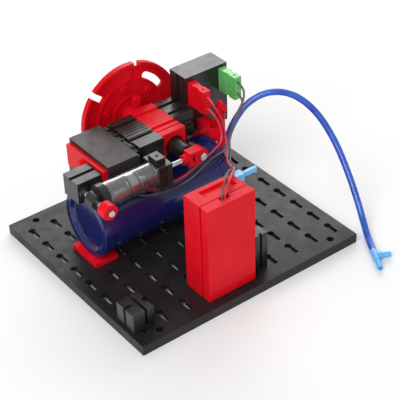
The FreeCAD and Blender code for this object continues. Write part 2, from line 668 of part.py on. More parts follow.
def make_cylinder():
    """The clear cylinder swings on the pivot axle; its rod ends in a clip on the crank pin."""
    y = "cylinder_y"
    z = "drive_z"
    right = "tube_left + tube_long"
    tube = bar("X", ("tube_left", y, z), "cylinder_radius", "tube_long")
    subpart("cylinder_tube", cut(tube, bar("X", ("tube_left - 1", y, z), "cylinder_bore", "tube_long + 2")))

    rear_disc = bar("X", ("tube_left - 4", y, z), "cylinder_radius + 0.4", 4)
    spigot = bar("X", ("tube_left", y, z), "cylinder_bore - 0.03", 1.5)
    lug = box(("pivot_x", f"{y} - 3.5", f"{z} - 4.2"), ("tube_left - 4 - pivot_x", 7, 8.4))
    eye = bar("Y", ("pivot_x", f"{y} - 3.5", z), 4.2, 7)
    eye_bore = bar("Y", ("pivot_x", f"{y} - 5", z), "axle_radius + running_fit", 10)
    port_long = "cylinder_radius + 5"
    port = bar("Z", ("tube_left - 2", y, f"{z} - ({port_long})"), "nipple_radius", port_long)
    port_bore = bar("Z", ("tube_left - 2", y, f"{z} - ({port_long}) - 1"), "nipple_bore", port_long)
    inlet = bar("X", ("tube_left - 2", y, f"{z} - 2"), "nipple_bore", 6)
    subpart("cylinder_rear_cap", cut(fuse(rear_disc, spigot, lug, eye, port), eye_bore, port_bore, inlet))

    block = box((right, f"{y} - cylinder_radius", f"{z} - 7"), ("front_cap_long", "cylinder_radius * 2", 14.5))
    head = box((f"{right} + 1", f"{y} - 4", f"{z} + 7.5"), (6, 8, 3))
    spigot = bar("X", (f"{right} - 2.5", y, z), "cylinder_bore - 0.03", 2.5)
    guide = bar("X", (f"{right} - 3", y, z), "rod_radius + running_fit", 14)
    recess = bar("X", (f"{right} + 6.5", y, z), "rod_radius + 1.4", 3)
    vent = bar("Z", (f"{right} + 4", y, f"{z} + 3"), "nipple_bore", 9)
    grooves = [box((f"{right} + 3", f"{y} {side}", f"{z} - 8"), (2.6, 1.2, 15))
               for side in ("- cylinder_radius - 0.2", "+ cylinder_radius - 1")]
    subpart("cylinder_front_cap", cut(fuse(block, head, spigot), guide, recess, vent, *grooves))

    half = "piston_long / 2"
    body = bar("X", (f"piston_x - {half}", y, z), "cylinder_bore - 0.35", "piston_long")
    rod_hole = bar("X", (f"piston_x - {half} - 1", y, z), "rod_radius + 0.02", "piston_long + 2")
    seats = []
    rings = []
    for offset in ("- 3.9", "+ 2.5"):
        start = f"piston_x {offset}"
        for outside, found in (("cylinder_bore + 1", seats), ("cylinder_bore - 0.06", rings)):
            core = bar("X", (start, y, z), "cylinder_bore - 1.3", 1.4)
            found.append(cut(bar("X", (start, y, z), outside, 1.4), core))
    subpart("piston", cut(body, rod_hole, *seats))
    subpart("piston_seals", fuse(*rings))

    rod_end = "crank_x + crank_throw - 7.5"
    rod = bar("X", (f"piston_x - {half}", y, z), "rod_radius", f"{rod_end} - piston_x + {half}")
    subpart("piston_rod", rod)


def make_rod_clip():
    """A fork that snaps on the crank pin, its two prongs joined at the rod's socket."""
    left = "crank_x + crank_throw - 11"
    eye_x = "crank_x + crank_throw"
    y = "cylinder_y"
    low = f"{y} - 3"
    socket = bar("X", (left, y, "drive_z"), 3, 4.5)
    bridge = box((f"{left} + 3", low, "drive_z - 4.2"), (2.2, 6, 8.4))
    prongs = [box((f"{left} + 4", low, f"drive_z {side}"), (7, 6, 1.9)) for side in ("+ 2.3", "- 4.2")]
    pin_way = bar("Y", (eye_x, f"{low} - 1", "drive_z"), "crank_pin_radius + 0.02", 8)
    eye = cut(bar("Y", (eye_x, low, "drive_z"), "eye_radius", 6), pin_way)
    rod_hole = bar("X", (f"{left} - 1", y, "drive_z"), "rod_radius + 0.02", 4.6)
    subpart("rod_clip", cut(fuse(socket, bridge, *prongs, eye), rod_hole))
    stub = bar("Y", (eye_x, f"{low} - 1.4", "drive_z"), "crank_pin_radius", 7.7)
    head = bar("Y", (eye_x, f"{low} - 2.4", "drive_z"), "crank_pin_radius + 0.8", 1)
    subpart("crank_pin", fuse(stub, head))


def make_pivot():
    subpart("pivot_axle", bar("Y", ("pivot_x", "cylinder_y - 16.5", "drive_z"), "axle_radius", 40))
    block = box(("cover_left - 19", "motor_y - 19", "block_bottom - 0.5"), (16, 14, 13))
    boss = bar("Y", ("pivot_x", "cylinder_y + cylinder_radius + 0.8", "drive_z"), 3.4, 5)
    axle_hole = bar("Y", ("pivot_x", "cylinder_y", "drive_z"), "axle_radius + 0.02", 40)
    groove_top = box(("cover_left - 20", "motor_y - 13.2", "block_bottom + 11.5"), (18, "groove", 2))
    subpart("pivot_block", cut(fuse(block, boss), axle_hole, groove_top))

    ring = bar("Y", ("pivot_x", "cylinder_y - 15", "drive_z"), 4.6, 6)
    collar_bore = bar("Y", ("pivot_x", "cylinder_y - 16", "drive_z"), "axle_radius + 0.02", 8)
    subpart("pivot_collar", cut(ring, collar_bore))


# ---------------------------------------------------------------- control box

def make_control_box():
    """A pressure switch: air lifts the plunger against the range spring until the contacts part."""
    low = "box_bottom + 3"
    shell = box(("box_left", "box_front", low), ("box_wide", "box_deep", "box_top - 3 - box_bottom"))
    hollow = box(("box_left + wall", "box_front + wall", f"{low} - 1"),
                 ("box_wide - wall * 2", "box_deep - wall * 2", "box_top - box_bottom - 2 - wall"))
    side_groove = box(("box_left - 1", "box_front + 6.2", f"{low} - 1"), (1.9, "groove", 36))
    far_groove = box(("box_left + box_wide - 0.9", "box_front + 6.2", f"{low} - 1"), (1.9, "groove", 36))
    sockets = [bar("Y", (x, "box_front - 1", z), 1.45, 4) for x, z in plug_centres()]
    subpart("control_box_shell", cut(shell, hollow, side_groove, far_groove, *sockets))
    middle_x = "box_left + box_wide / 2"
    middle_y = "box_front + box_deep / 2"
    base = box(("box_left", "box_front", "box_bottom"), ("box_wide", "box_deep", 3))
    chamber = bar("Z", (middle_x, middle_y, "box_bottom + 1.6"), 4.6, 2)
    subpart("control_box_base", cut(base, chamber))
    subpart("diaphragm", bar("Z", (middle_x, middle_y, low), 5.6, 0.8))

    foot = bar("Z", (middle_x, middle_y, f"{low} + 0.9"), 4.8, 2)
    stem = bar("Z", (middle_x, middle_y, f"{low} + 2.9"), 1.6, 15)
    subpart("pressure_plunger", fuse(foot, stem))
    spring = bar("Z", (middle_x, middle_y, f"{low} + 3"), 4, 9)
    subpart("range_spring", cut(spring, bar("Z", (middle_x, middle_y, low), 2.9, 16)))
    seat = box(("box_left + wall", "box_front + wall", f"{low} + 12.1"),
               ("box_wide - wall * 2", "box_deep - wall * 2", 1.6))
    subpart("spring_seat", cut(seat, bar("Z", (middle_x, middle_y, low), "1.6 + running_fit", 30)))
    blades = []
    for blade_x, post_x in (("box_left + 3.2", "box_left + 3.2"), (f"{middle_x} + 0.6", f"{middle_x} + 10.2")):
        blades.append(box((blade_x, f"{middle_y} - 1.5", f"{low} + 21"), (11, 3, 0.4)))
        blades.append(box((post_x, f"{middle_y} - 1.5", f"{low} + 13.7"), (1.4, 3, 7.3)))
    subpart("contact_blades", fuse(*blades))


def plug_centres():
    """Socket centres: two plugs one above the other at each end of the box's front."""
    red_x = "box_left + 1.5 + plug_wide / 2"
    green_x = "box_left + box_wide - 1.3 - plug_wide / 2"
    half = "plug_high / 2"
    return [(x, f"{low} + {half} + (plug_high + 0.2) * {level}")
            for x, low in ((red_x, "plug_low_red"), (green_x, "plug_low_green")) for level in (0, 1)]


def make_plugs():
    back = "box_front - plug_long"
    plugs = []
    pins = []
    for x, z in plug_centres():
        body = box((f"{x} - plug_wide / 2", back, f"{z} - plug_high / 2"),
                   ("plug_wide", "plug_long", "plug_high"))
        waist = [box((f"{x} {side}", "box_front - 9.5", f"{z} - 5"), (2, 3.2, 10))
                 for side in ("- plug_wide / 2 - 1.3", "+ plug_wide / 2 - 0.7")]
        screw = bar("Z", (x, "box_front - 11.5", z), 0.9, 5)
        entry = bar("Y", (x, f"{back} - 1", z), "wire_radius + 0.02", 5)
        plugs.append(cut(body, screw, entry, *waist))
        pins.append(bar("Y", (x, "box_front", z), "plug_pin", 3.5))
    subpart("plugs_red", fuse(*plugs[:2]))
    subpart("plugs_green", fuse(*plugs[2:]))
    subpart("plug_pins", fuse(*pins))


# ---------------------------------------------------------------- cable holder

def make_cable_holder():
    """A clip block on an arm, with a post that the leads are led round and a prong that hangs down."""
    post_x = "box_left + 13.5"
    post_y = "box_front - 14.5"
    arm = box(("box_left + 7.5", "box_front - 10", "box_bottom + 1"), (7, 10, 8))
    clip = box(("box_left + 5.8", "box_front - 13", "box_bottom + 0.5"), (9, 9, 8.5), spin=-32)
    hollow = box(("box_left + 7.6", "box_front - 12.4", "box_bottom + 5"), (5, 6, 6), spin=-32)
    post = bar("Z", (post_x, post_y, "box_bottom + 2"), 2.6, 19)
    ears = [box((f"{post_x} - {half_x}", f"{post_y} - {half_y}", "box_bottom + 19"),
                (half_x * 2, half_y * 2, 3)) for half_x, half_y in ((4, 0.9), (0.9, 4))]
    tip = cone("Z", (post_x, post_y, "box_bottom + 21"), 2.2, 1.2, 5)
    prong = lean(cone("Z", (f"{post_x} - 0.9", f"{post_y} - 2.6", "box_bottom + 2"), 2.1, 1.1, 14), 202)
    subpart("cable_holder", fuse(cut(fuse(arm, clip), hollow), post, tip, prong, *ears))


# ---------------------------------------------------------------- battery box

def make_battery_box():
    lid_back = "battery_front + battery_lid"
    tray_back = f"{lid_back} + battery_tray"
    top = "plate_thick + battery_high"

    lid = box(("battery_left", "battery_front", "plate_thick + 0.3"),
              ("battery_wide", "battery_lid - 0.3", "battery_high - 0.3"))
    lid_hollow = box(("battery_left + wall", "battery_front + wall", "plate_thick - 1"),
                     ("battery_wide - wall * 2", "battery_lid", "battery_high + 1 - wall"))
    grips = [box((x, f"{lid_back} - 1.6", "plate_thick - 1"), (1.8, 2, "battery_high + 2"))
             for x in ("battery_left - 1", "battery_left + battery_wide - 0.8")]
    wire_notch = box(("battery_left + 12.4", f"{lid_back} - 2.9", "plate_thick + battery_high - 2"), (6.2, 3, 3))
    subpart("battery_lid", cut(lid, lid_hollow, wire_notch, *grips))

    tray = box(("battery_left", lid_back, "plate_thick"), ("battery_wide", "battery_tray", "battery_high"))
    tray_hollow = box(("battery_left + wall", f"{lid_back} - 1", "plate_thick + wall"),
                      ("battery_wide - wall * 2", "battery_tray + 1 - wall", "battery_high - wall - 4"))
    recess = box(("battery_left + 8", f"{lid_back} + 3.7", f"{top} - 1.6"), (20, 6.4, 3))
    subpart("battery_tray", cut(tray, tray_hollow, recess))

    battery_y = "battery_front + wall + 0.5"
    cell = box(("battery_left + 2.8", battery_y, "plate_thick + wall"), (26.4, 16.6, "cell_high"))
    studs = [bar("Z", (f"battery_left + {x}", f"{battery_y} + 8.3", "plate_thick + wall + cell_high"), 2.6, 2.2)
             for x in (10, 22)]
    snap = box(("battery_left + 4", f"{battery_y} + 3", "plate_thick + wall + cell_high + 2.2"), (24, 11, 2.2))
    subpart("battery_cell", fuse(cell, snap, *studs))

    right = "battery_left + battery_wide"
    clip = box((f"{right} + 0.4", "battery_front + 5.4", "plate_thick"), (12.5, 8, "stop_high"))
    slots = [box((f"{right} + {x}", "battery_front + 4.4", "plate_thick - 1"), (1.6, 2.6, "stop_high + 2"))
             for x in (3, 7.4)]
    hollow = bar("Z", (f"{right} + 6.6", "battery_front + 13.4", "plate_thick - 1"), "block_groove",
                 "stop_high + 2")
    post = box(("post_left", "post_front", "plate_thick"), (13.5, 15.5, "post_high"))
    gaps = [box(("post_left + 7.6", "post_front - 1", "plate_thick + 2"), (1.3, 18, "post_high")),
            box(("post_left - 1", "post_front + 7.4", "plate_thick - 1"), (6, 1.6, "post_high + 2")),
            bar("Z", ("post_left + 13.5", "post_front + 8", "plate_thick - 1"), "block_groove", "post_high + 2")]
    subpart("battery_stop", fuse(cut(clip, hollow, *slots), cut(post, *gaps)))


def make_lead_plug():
    """The small two-pole plug in the battery box's side, with its grip."""
    right = "battery_left + battery_wide"
    middle_y = "battery_front + 18"
    z = "plate_thick + battery_high - 2.6"
    body = box((right, f"{middle_y} - 2.4", f"{z} - 2.4"), (5.5, 4.8, 4.8))
    neck = bar("X", (f"{right} + 5", middle_y, z), 1.5, 3)
    grip = box((f"{right} + 7.5", f"{middle_y} - 0.9", f"{z} - 1.5"), (7.5, 1.8, 3))
    subpart("lead_plug", fuse(body, neck, grip))


# ---------------------------------------------------------------- leads and hose

LEADS = {
    "lead_red_battery": [
        (31.9, 16.5, 76.3), (31.9, 10.6, 76.3), (32.9, 7.6, 71.2), (36.4, 8.3, 65.6), (39, 8.4, 58), (39.8, 7.4, 50.2),
        (36.6, 2.6, 46.2), (31.4, -4, 46), (26.4, -11, 47.6), (22, -19, 50.6), (18, -26.4, 55), (14, -32.6, 60.4),
        (9.4, -38.4, 65.6), (4.4, -44, 69.2), (-0.2, -48.4, 70.6), (-4.4, -51.8, 70.8), (-7.8, -54.2, 70),
        (-10, -55.8, 68.8), (-11.2, -56.6, 66.4), (-11.2, -56.6, 64)],
    "lead_grey_battery": [
        (54.3, 16.5, 69.8), (54.3, 10, 69.8), (51.4, 6, 65), (46.4, 5, 61.6), (42.2, 5.8, 56), (40.4, 4.6, 48.6),
        (36.2, -1, 44.6), (30.6, -8, 44.2), (25.4, -15, 45.6), (20.8, -22.4, 49), (16.6, -28.4, 54), (12, -33.8, 59.8),
        (7, -38.8, 65.4), (2, -43.4, 69.8), (-2.8, -47.6, 71.7), (-6.8, -51.2, 71.8), (-10, -54, 70.8),
        (-12.2, -55.8, 69), (-13.2, -56.6, 66.5), (-13.2, -56.6, 64)],
    "lead_red_motor": [
        (31.9, 17, 68.9), (31.9, 10.5, 68.9), (33.4, 6.4, 64), (35.4, 5.6, 57), (33.6, 3.2, 50.6), (27.4, 0.6, 50.4),
        (20.6, -0.6, 48.4), (12.6, -0.8, 45.4), (3.6, -2, 43.6), (-6, -2.4, 43), (-16, -2, 43.4), (-24.6, -0.4, 44.6),
        (-28.6, 3.2, 46.4), (-30, 6.5, 48.8), (-30, 6.5, 51.6)],
    "lead_grey_motor": [
        (54.3, 16, 77.2), (54.3, 8.4, 77.2), (50.8, 3.6, 72), (45.4, 3, 66.4), (40.8, 2.8, 59), (38.4, 1, 51.4),
        (32.4, -1.4, 47.6), (24.2, -2.4, 47.8), (15.4, -3.2, 45.2), (5.8, -4.6, 42), (-5, -4.8, 40.8),
        (-16, -4.2, 41.2), (-25.8, -2.6, 43), (-32.2, 1.8, 46), (-34, 6.5, 48.6), (-34, 6.5, 51.8)],
}
HOSE = [
    (39.5, 13.5, 32.83), (45.4, 13.5, 43.05), (51.6, 13.3, 53.8), (60, 11.6, 63), (71.4, 7, 68), (82.6, -1.8, 66.4),
    (90.4, -13.6, 57), (93.4, -26.6, 42.6), (92.4, -39.6, 28), (90, -51.4, 14.6), (86.2, -61.4, 5.4), (80.4, -71.6, 2.1),
    (74.9, -81.4, 2.1)]


def rounded_path(points):
    """Straight runs joined by tangent arcs, each as large as its two runs allow."""
    spots = [FreeCAD.Vector(*point) for point in points]
    edges = []
    radii = []
    begin = spots[0]
    for before, corner, after in zip(spots, spots[1:], spots[2:]):
        inward = (before - corner).normalize()
        outward = (after - corner).normalize()
        turn = math.pi - inward.getAngle(outward)
        reach = 0.45 * min((before - corner).Length, (after - corner).Length)
        radii.append(reach / math.tan(turn / 2))
        start = corner + inward * reach
        stop = corner + outward * reach
        middle = corner + (inward + outward).normalize() * (radii[-1] / math.cos(turn / 2) - radii[-1])
        edges.append(Part.LineSegment(begin, start).toShape())
        edges.append(Part.Arc(start, middle, stop).toShape())
        begin = stop
    edges.append(Part.LineSegment(begin, spots[-1]).toShape())
    return Part.Wire(edges), radii


def round_cord(points, radius, name):
    """A solid round cord along the path, with its volume compared with section times length."""
    path, radii = rounded_path(points)
    start = FreeCAD.Vector(*points[0])
    section = Part.Wire(Part.makeCircle(radius, start, FreeCAD.Vector(*points[1]) - start).Edges)
    sweep = Part.BRepOffsetAPI.MakePipeShell(path)
    sweep.add(section)
    sweep.build()
    sweep.makeSolid()
    cord = sweep.shape()
    expected = math.pi * radius ** 2 * path.Length
    print(f"{name}: length {path.Length:.1f}, radii {[round(each, 1) for each in radii]}, "
          f"volume / expected {cord.Volume / expected:.4f}")
    return cord


def make_leads():
    for label, route in LEADS.items():
        feature = doc.addObject("Part::Feature", label)
        feature.Shape = round_cord(route, value("wire_radius"), label)
        subpart(label, feature)


def make_hose():
    hose = round_cord(HOSE, value("hose_radius"), "delivery_hose")
    start = FreeCAD.Vector(*HOSE[0])
    barb = Part.makeCylinder(value("nipple_radius") + 0.02, value("barb_long") + 0.02, start,
                             FreeCAD.Vector(*HOSE[1]) - start)
    end = FreeCAD.Vector(*HOSE[-1])
    onward = (end - FreeCAD.Vector(*HOSE[-2])).normalize()
    tail_barb = Part.makeCylinder(value("nipple_radius") + 0.02, value("barb_long") + 0.02, end, -onward)
    feature = doc.addObject("Part::Feature", "delivery_hose")
    feature.Shape = hose.cut(barb).cut(tail_barb)
    subpart("delivery_hose", feature)

    barb = value("barb_long")
    run = Part.makeCylinder(value("nipple_radius"), barb + 16, end - onward * barb, onward)
    shoulder = Part.makeCylinder(value("tee_radius"), 9, end, onward)
    middle = end + onward * 4.5
    across = FreeCAD.Vector(0, 0, 1).cross(onward)
    branch = Part.makeCylinder(value("nipple_radius"), 9, middle, across)
    sleeve = Part.makeCylinder(value("tee_radius"), 4, middle, across)
    bore = Part.makeCylinder(value("nipple_bore"), 40, end - onward * 10, onward)
    branch_bore = Part.makeCylinder(value("nipple_bore"), 12, middle, across)
    tee = doc.addObject("Part::Feature", "hose_tee")
    tee.Shape = run.fuse([shoulder, branch, sleeve]).cut(bore).cut(branch_bore)
    subpart("hose_tee", tee)


def export():
    os.makedirs("parts", exist_ok=True)
    doc.recompute()
    for thing in doc.Objects:
        if "Invalid" in thing.State or "Error" in thing.State:
            raise RuntimeError(f"{thing.Name} ({thing.Label}) did not compute: {thing.State}")
    for thing in subparts:
        shape = thing.Shape
        if shape.isNull() or not shape.isValid():
            raise RuntimeError(f"{thing.Label} has no valid shape")
    for thing in subparts:
        thing.Shape.exportStep(f"parts/{thing.Label}.step")
        spread = thing.Shape.BoundBox
        print(f"{thing.Label:24s} solids {len(thing.Shape.Solids)}  x {spread.XMin:7.2f} {spread.XMax:7.2f}"
              f"  y {spread.YMin:7.2f} {spread.YMax:7.2f}  z {spread.ZMin:7.2f} {spread.ZMax:7.2f}")


make_base_plate()
make_reservoir()
make_cradle("cradle_left", "tank_left - 3.2")
make_cradle("cradle_right", "tank_left + tank_long - 22")
grooved_column("column_left", "cover_left + 2", "block_bottom - plate_thick")
grooved_column("column_middle", "gear_left + 0.7", "block_bottom - 1.3 - plate_thick",
               "gear_back - column_y")
grooved_column("column_right", "box_left + 7.5", "box_bottom - plate_thick")
make_motor()
make_pinion()
make_crown_wheel()
make_gearbox()
make_crank()
make_flywheel()
make_cylinder()
make_rod_clip()
make_pivot()
make_control_box()
make_plugs()
make_cable_holder()
make_battery_box()
make_lead_plug()
make_leads()
make_hose()
export()
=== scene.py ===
import bpy
import bmesh
import json
import math
from mathutils import Matrix, Vector


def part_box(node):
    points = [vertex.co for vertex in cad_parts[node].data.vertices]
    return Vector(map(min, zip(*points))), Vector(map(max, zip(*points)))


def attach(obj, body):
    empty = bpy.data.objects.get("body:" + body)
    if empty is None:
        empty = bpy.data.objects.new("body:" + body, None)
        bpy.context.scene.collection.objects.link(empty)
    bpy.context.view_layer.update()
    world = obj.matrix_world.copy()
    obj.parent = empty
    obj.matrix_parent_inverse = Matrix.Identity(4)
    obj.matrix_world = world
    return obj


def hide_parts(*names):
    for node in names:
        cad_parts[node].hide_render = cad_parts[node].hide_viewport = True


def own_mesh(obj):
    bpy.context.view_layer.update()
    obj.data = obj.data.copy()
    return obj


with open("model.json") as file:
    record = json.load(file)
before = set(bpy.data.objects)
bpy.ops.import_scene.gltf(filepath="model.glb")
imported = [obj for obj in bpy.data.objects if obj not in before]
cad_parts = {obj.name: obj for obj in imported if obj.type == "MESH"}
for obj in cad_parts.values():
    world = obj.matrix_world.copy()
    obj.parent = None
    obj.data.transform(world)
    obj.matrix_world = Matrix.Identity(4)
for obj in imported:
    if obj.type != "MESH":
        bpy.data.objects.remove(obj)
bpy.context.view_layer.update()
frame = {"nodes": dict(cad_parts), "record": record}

MM = 0.001
NODE_BODY = {node: body
             for body, nodes in frame["record"]["behaviour"]["bodies"].items()
             for node in nodes}
NODE_SLOT = {entry["node"]: entry["material_slot"] for entry in frame["record"]["subparts"]}


# ---------------------------------------------------------------- camera

def make_camera():
    """Stands where it looks down on the unit's front left corner, about 0.7 m away."""
    camera = bpy.data.objects.new("camera", bpy.data.cameras.new("camera"))
    bpy.context.scene.collection.objects.link(camera)
    camera.data.sensor_width = 36
    camera.data.lens = 113.5
    place = Vector((-0.3344, -0.4731, 0.4481))
    aim = Vector((0.0045, -0.0135, 0.0325))
    look_down = (aim - place).to_track_quat("-Z", "Y")
    roll = Matrix.Rotation(math.radians(-2), 4, "Z")
    camera.matrix_world = Matrix.Translation(place) @ look_down.to_matrix().to_4x4() @ roll
    bpy.context.scene.camera = camera
    bpy.context.scene.view_settings.view_transform = "Standard"


# ---------------------------------------------------------------- materials

def new_material(name):
    material = bpy.data.materials.new(name)
    material.use_nodes = True
    nodes = material.node_tree.nodes
    return material, nodes, material.node_tree.links, nodes["Principled BSDF"]


def noise(nodes, links, scale, detail=3.0, roughness=0.5, stretch=(1, 1, 1)):
    """A noise texture in object coordinates; scale counts its features per metre. It is turned
    out of the axes, because a flat face that lies along the noise's own grid shows patches."""
    where = nodes.new("ShaderNodeTexCoord")
    mapping = nodes.new("ShaderNodeMapping")
    mapping.inputs["Scale"].default_value = stretch
    mapping.inputs["Rotation"].default_value = (0.5, 0.7, 0.3)
    texture = nodes.new("ShaderNodeTexNoise")
    texture.inputs["Scale"].default_value = scale
    texture.inputs["Detail"].default_value = detail
    texture.inputs["Roughness"].default_value = roughness
    links.new(where.outputs["Object"], mapping.inputs["Vector"])
    links.new(mapping.outputs["Vector"], texture.inputs["Vector"])
    return texture.outputs["Fac"]


def ramp(nodes, links, source, low, high, color_low, color_high):
    """Two colours, blended where source goes from low to high."""
    blend = nodes.new("ShaderNodeValToRGB")
    blend.color_ramp.elements[0].position = low
    blend.color_ramp.elements[1].position = high
    blend.color_ramp.elements[0].color = (*color_low, 1)
    blend.color_ramp.elements[1].color = (*color_high, 1)
    links.new(source, blend.inputs["Fac"])
    return blend.outputs["Color"]


def span(nodes, links, source, low, high):
    """The middle of a noise's values, from 0.3 to 0.7, as a number from low to high."""
    spread = nodes.new("ShaderNodeMapRange")
    spread.inputs["From Min"].default_value = 0.3
    spread.inputs["From Max"].default_value = 0.7
    spread.inputs["To Min"].default_value = low
    spread.inputs["To Max"].default_value = high
    links.new(source, spread.inputs["Value"])
    return spread.outputs["Result"]


def bump(nodes, links, shader, source, strength, distance):
    """Relief from source, distance metres deep at full strength."""
    relief = nodes.new("ShaderNodeBump")
    relief.inputs["Strength"].default_value = strength
    relief.inputs["Distance"].default_value = distance
    links.new(source, relief.inputs["Height"])
    links.new(relief.outputs["Normal"], shader.inputs["Normal"])


def moulded(name, dark, light, rough_low, rough_high, coat=0.0, grain=2600, grain_depth=0.00004,
            specular=0.5):
    """Injection-moulded plastic: slight colour drift, flow marks in the gloss, and a fine grain."""
    material, nodes, links, shader = new_material(name)
    drift = noise(nodes, links, scale=55, detail=4)
    links.new(ramp(nodes, links, drift, 0.35, 0.68, dark, light), shader.inputs["Base Color"])
    flow = noise(nodes, links, scale=160, detail=5, roughness=0.6, stretch=(1, 1, 0.4))
    links.new(span(nodes, links, flow, rough_low, rough_high), shader.inputs["Roughness"])
    bump(nodes, links, shader, noise(nodes, links, scale=grain, detail=2), strength=0.35,
         distance=grain_depth)
    shader.inputs["Coat Weight"].default_value = coat
    shader.inputs["Coat Roughness"].default_value = 0.12
    shader.inputs["Specular IOR Level"].default_value = specular
    return material


def clear(name, color, transmission, rough, polish, ior=1.47):
    """Transparent moulded plastic, with faint waves in its surface and a coat of that polish."""
    material, nodes, links, shader = new_material(name)
    drift = noise(nodes, links, scale=40, detail=3)
    deeper = tuple(channel * 0.7 for channel in color)
    links.new(ramp(nodes, links, drift, 0.3, 0.7, deeper, color), shader.inputs["Base Color"])
    waves = noise(nodes, links, scale=140, detail=4)
    links.new(span(nodes, links, waves, rough * 0.5, rough * 1.6), shader.inputs["Roughness"])
    bump(nodes, links, shader, noise(nodes, links, scale=400, detail=2), strength=0.15,
         distance=0.00005)
    shader.inputs["Transmission Weight"].default_value = transmission
    shader.inputs["IOR"].default_value = ior
    shader.inputs["Coat Weight"].default_value = polish
    shader.inputs["Coat IOR"].default_value = 2.2
    shader.inputs["Coat Roughness"].default_value = 0.22
    return material


def metal(name, color_low, color_high, rough_low, rough_high, stretch):
    """Drawn or turned metal, with fine lines along or round it."""
    material, nodes, links, shader = new_material(name)
    lines = noise(nodes, links, scale=1800, detail=3, roughness=0.6, stretch=stretch)
    links.new(ramp(nodes, links, lines, 0.3, 0.7, color_low, color_high),
              shader.inputs["Base Color"])
    links.new(span(nodes, links, lines, rough_low, rough_high), shader.inputs["Roughness"])
    bump(nodes, links, shader, lines, strength=0.25, distance=0.00002)
    shader.inputs["Metallic"].default_value = 1
    return material


def rubber(name):
    """Black rubber, dusty in places."""
    material, nodes, links, shader = new_material(name)
    dust = noise(nodes, links, scale=700, detail=5, roughness=0.7)
    links.new(ramp(nodes, links, dust, 0.35, 0.8, (0.008, 0.008, 0.009), (0.03, 0.03, 0.032)),
              shader.inputs["Base Color"])
    links.new(span(nodes, links, dust, 0.45, 0.75), shader.inputs["Roughness"])
    bump(nodes, links, shader, dust, strength=0.3, distance=0.00003)
    return material


def hose_plastic(name):
    """Soft blue hose, slightly see-through at its edges."""
    material, nodes, links, shader = new_material(name)
    drift = noise(nodes, links, scale=120, detail=4)
    links.new(ramp(nodes, links, drift, 0.3, 0.7, (0.012, 0.075, 0.50), (0.035, 0.15, 0.72)),
              shader.inputs["Base Color"])
    links.new(span(nodes, links, noise(nodes, links, scale=300, detail=3), 0.14, 0.3),
              shader.inputs["Roughness"])
    bump(nodes, links, shader, noise(nodes, links, scale=900, detail=2), strength=0.2,
         distance=0.00003)
    shader.inputs["Transmission Weight"].default_value = 0.25
    shader.inputs["Coat Weight"].default_value = 0.5
    shader.inputs["Coat Roughness"].default_value = 0.08
    return material


def make_materials():
    """One material for each slot in the record."""
    return {
        "dark_plastic": moulded(
            "plate_plastic", dark=(0.010, 0.009, 0.009), light=(0.018, 0.015, 0.016),
            rough_low=0.32, rough_high=0.50, grain=1900, grain_depth=0.00005, specular=0.3),
        "black_plastic": moulded(
            "black_moulding", dark=(0.008, 0.007, 0.007), light=(0.018, 0.016, 0.015),
            rough_low=0.24, rough_high=0.42, coat=0.15),
        "grey_black_plastic": moulded(
            "grey_black_moulding", dark=(0.022, 0.017, 0.016), light=(0.034, 0.027, 0.025),
            rough_low=0.36, rough_high=0.50, grain=2200, grain_depth=0.00003, specular=0.4),
        "red_plastic": moulded(
            "red_moulding", dark=(0.64, 0.003, 0.010), light=(0.71, 0.006, 0.017),
            rough_low=0.27, rough_high=0.35, grain_depth=0.00002, specular=0.12),
        "green_plastic": moulded(
            "green_moulding", dark=(0.09, 0.42, 0.10), light=(0.15, 0.54, 0.16),
            rough_low=0.22, rough_high=0.36, coat=0.2),
        "pale_blue_plastic": moulded(
            "pale_blue_moulding", dark=(0.07, 0.36, 0.74), light=(0.13, 0.48, 0.86),
            rough_low=0.20, rough_high=0.34, coat=0.3),
        "tank_blue": clear(
            "tank_moulding", color=(0.016, 0.030, 0.23), transmission=0.55, rough=0.10,
            polish=0.1),
        "clear_plastic": clear(
            "clear_moulding", color=(0.92, 0.93, 0.95), transmission=0.97, rough=0.03,
            polish=0.6, ior=1.42),
        "steel": metal(
            "drawn_steel", color_low=(0.50, 0.49, 0.49), color_high=(0.80, 0.79, 0.79),
            rough_low=0.10, rough_high=0.26, stretch=(0.2, 1, 1)),
        "brass": metal(
            "turned_brass", color_low=(0.62, 0.42, 0.14), color_high=(0.85, 0.64, 0.28),
            rough_low=0.16, rough_high=0.34, stretch=(1, 0.2, 1)),
        "rubber": rubber("black_rubber"),
        "red_wire": moulded(
            "red_insulation", dark=(0.58, 0.018, 0.04), light=(0.78, 0.05, 0.09),
            rough_low=0.30, rough_high=0.45, coat=0.1),
        "grey_wire": moulded(
            "grey_insulation", dark=(0.075, 0.050, 0.050), light=(0.16, 0.12, 0.12),
            rough_low=0.32, rough_high=0.48, coat=0.1),
        "blue_hose": hose_plastic("hose_plastic"),
    }


# ---------------------------------------------------------------- pieces

# How far a moulding's edges are rounded, in millimetres.
USUAL_EDGE = 0.35
EDGE = {"flywheel_disc": 0.55, "battery_lid": 0.5, "battery_tray": 0.5}

# Points of a CAD mesh that are this near, in metres, are one point.
SAME_POINT = 0.000004

# Faces that meet at less than FLAT are one flat face. Edges sharper than ROUNDED are rounded,
# and edges sharper than SHARP are shaded sharp.
FLAT = math.radians(1)
ROUNDED = math.radians(32)
SHARP = math.radians(28)


def adopt(piece, body, slot, *nodes):
    """Gives a piece its body and its slot's material, and hides the CAD nodes that it stands for.
    """
    piece.data.materials.clear()
    piece.data.materials.append(materials[slot])
    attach(piece, body)
    if nodes:
        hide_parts(*nodes)
    return piece


def mesh_piece(name, mesh):
    piece = bpy.data.objects.new(name, mesh)
    bpy.context.scene.collection.objects.link(piece)
    return piece


def mesh_of(thing):
    """The mesh that a curve makes, or that a mesh object has with its modifiers."""
    bpy.context.view_layer.update()
    evaluated = thing.evaluated_get(bpy.context.evaluated_depsgraph_get())
    return bpy.data.meshes.new_from_object(evaluated)


